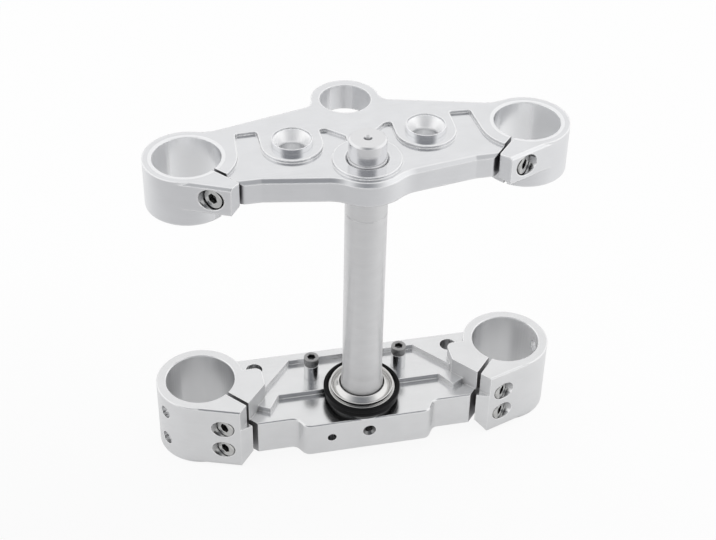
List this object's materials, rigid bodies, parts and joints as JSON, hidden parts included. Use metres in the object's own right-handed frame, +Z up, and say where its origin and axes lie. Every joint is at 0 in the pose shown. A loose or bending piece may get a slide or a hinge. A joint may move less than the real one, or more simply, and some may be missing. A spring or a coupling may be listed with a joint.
{
  "type": "motorcycle triple clamp",
  "caption": "Polished motorcycle triple clamp: upper and lower fork clamps with pinch screws, joined by a steering stem with bearing race and dust seal.",
  "frame": {"origin": "on the steering axis, level with the underside of the lower fork clamps", "axes": "+X to the rider's right, +Y to the front of the motorcycle, +Z up along the steering axis"},
  "size_m": [0.268, 0.1125, 0.2415],
  "materials": {
    "clamp_aluminium": "polished after machining",
    "stem_aluminium": "fine turned, satin",
    "cup_aluminium": "turned and polished",
    "sleeve_aluminium": "turned",
    "race_steel": "ground",
    "screw_steel": "zinc plated",
    "seal_rubber": "moulded, matt"
  },
  "bodies": {
    "root": {"upper_clamp": "clamp_aluminium", "lower_clamp": "clamp_aluminium", "steering_stem": "stem_aluminium", "lower_bearing_race": "race_steel", "dust_seal": "seal_rubber", "upper_pinch_screws": "screw_steel", "lower_pinch_screws": "screw_steel", "bracket_bolts": "screw_steel", "left_riser_cup": "cup_aluminium", "right_riser_cup": "cup_aluminium", "left_spacer_sleeve": "sleeve_aluminium", "right_spacer_sleeve": "sleeve_aluminium"}
  },
  "joints": []
}
